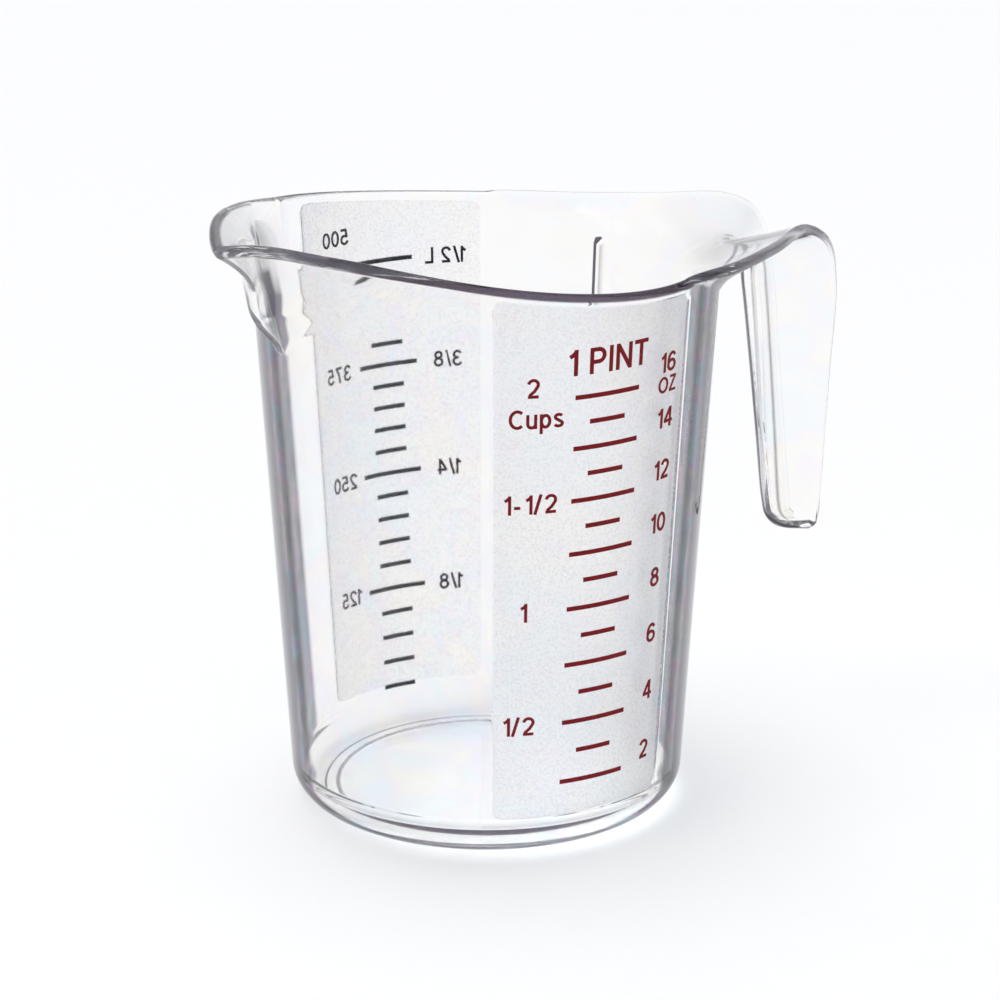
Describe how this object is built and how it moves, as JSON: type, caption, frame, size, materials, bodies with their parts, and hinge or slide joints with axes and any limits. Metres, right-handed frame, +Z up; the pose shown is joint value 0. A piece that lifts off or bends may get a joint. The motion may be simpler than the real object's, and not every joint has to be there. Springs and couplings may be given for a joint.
{
  "type": "measuring jug",
  "caption": "Clear conical measuring jug with a pouring spout, a hanging channel handle that grows out of the rim, and printed volume scales on matt panels.",
  "frame": {"origin": "middle of the foot ring, on the plane that the jug stands on", "axes": "+X towards the handle, +Y towards the metric scale, +Z up"},
  "size_m": [0.1351, 0.0934, 0.1237],
  "materials": {
    "clear_plastic": "clear polished polycarbonate, two panels finely matt",
    "red_ink": "screen-printed dark red ink",
    "blue_ink": "screen-printed dark blue ink"
  },
  "bodies": {
    "root": {"jug_moulding": "clear_plastic", "line_metric_01": "clear_plastic", "line_metric_02": "clear_plastic", "line_metric_03": "clear_plastic", "line_metric_04": "clear_plastic", "line_metric_05": "clear_plastic", "line_metric_06": "clear_plastic", "line_metric_07": "clear_plastic", "line_metric_08": "clear_plastic", "line_metric_09": "clear_plastic", "line_metric_10": "clear_plastic", "line_metric_11": "clear_plastic", "line_metric_12": "clear_plastic", "line_metric_13": "clear_plastic", "line_metric_14": "clear_plastic", "line_metric_15": "clear_plastic", "line_metric_16": "clear_plastic", "line_metric_20": "clear_plastic", "line_ounce_02": "clear_plastic", "line_ounce_03": "clear_plastic", "line_ounce_04": "clear_plastic", "line_ounce_05": "clear_plastic", "line_ounce_06": "clear_plastic", "line_ounce_07": "clear_plastic", "line_ounce_08": "clear_plastic", "line_ounce_09": "clear_plastic", "line_ounce_10": "clear_plastic", "line_ounce_11": "clear_plastic", "line_ounce_12": "clear_plastic", "line_ounce_13": "clear_plastic", "line_ounce_14": "clear_plastic", "line_ounce_15": "clear_plastic", "line_ounce_16": "clear_plastic"}
  },
  "joints": []
}
